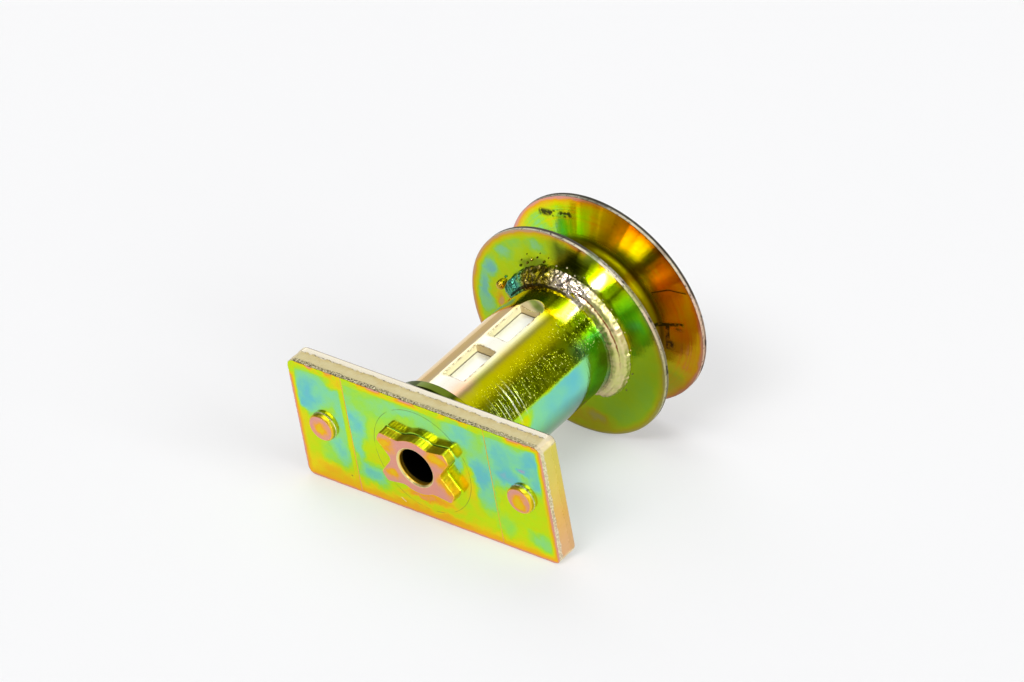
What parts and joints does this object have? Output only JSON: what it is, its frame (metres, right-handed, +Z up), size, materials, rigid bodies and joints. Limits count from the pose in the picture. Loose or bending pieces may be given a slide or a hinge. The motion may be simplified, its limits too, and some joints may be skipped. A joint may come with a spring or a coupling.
{
  "type": "mower blade holder",
  "caption": "Lawn mower blade holder: a plate with a star boss and pegs for the blade, a keyed sleeve for the crankshaft and a V-belt pulley, welded together in steel.",
  "frame": {"origin": "on the ground, below the middle of the part's box, as it lies on the plate's lower edge and the pulley's front rim", "axes": "+X along the plate's long edges, +Y from the plate towards the pulley along the ground, +Z up; the shaft's axis rises from the plate to the pulley by 11.98 degrees from +Y"},
  "size_m": [0.083, 0.0874, 0.0648],
  "materials": {
    "zinc_plate": "glossy yellow-passivated zinc plate over pressed steel",
    "zinc_sleeve": "glossy yellow-passivated zinc plate over turned steel",
    "zinc_pulley": "glossy yellow-passivated zinc plate over turned steel",
    "zinc_weld": "yellow-passivated zinc plate over a rippled weld bead"
  },
  "bodies": {
    "root": {"blade_plate": "zinc_plate", "drive_sleeve": "zinc_sleeve", "belt_pulley": "zinc_pulley", "pulley_weld": "zinc_weld"}
  },
  "joints": []
}
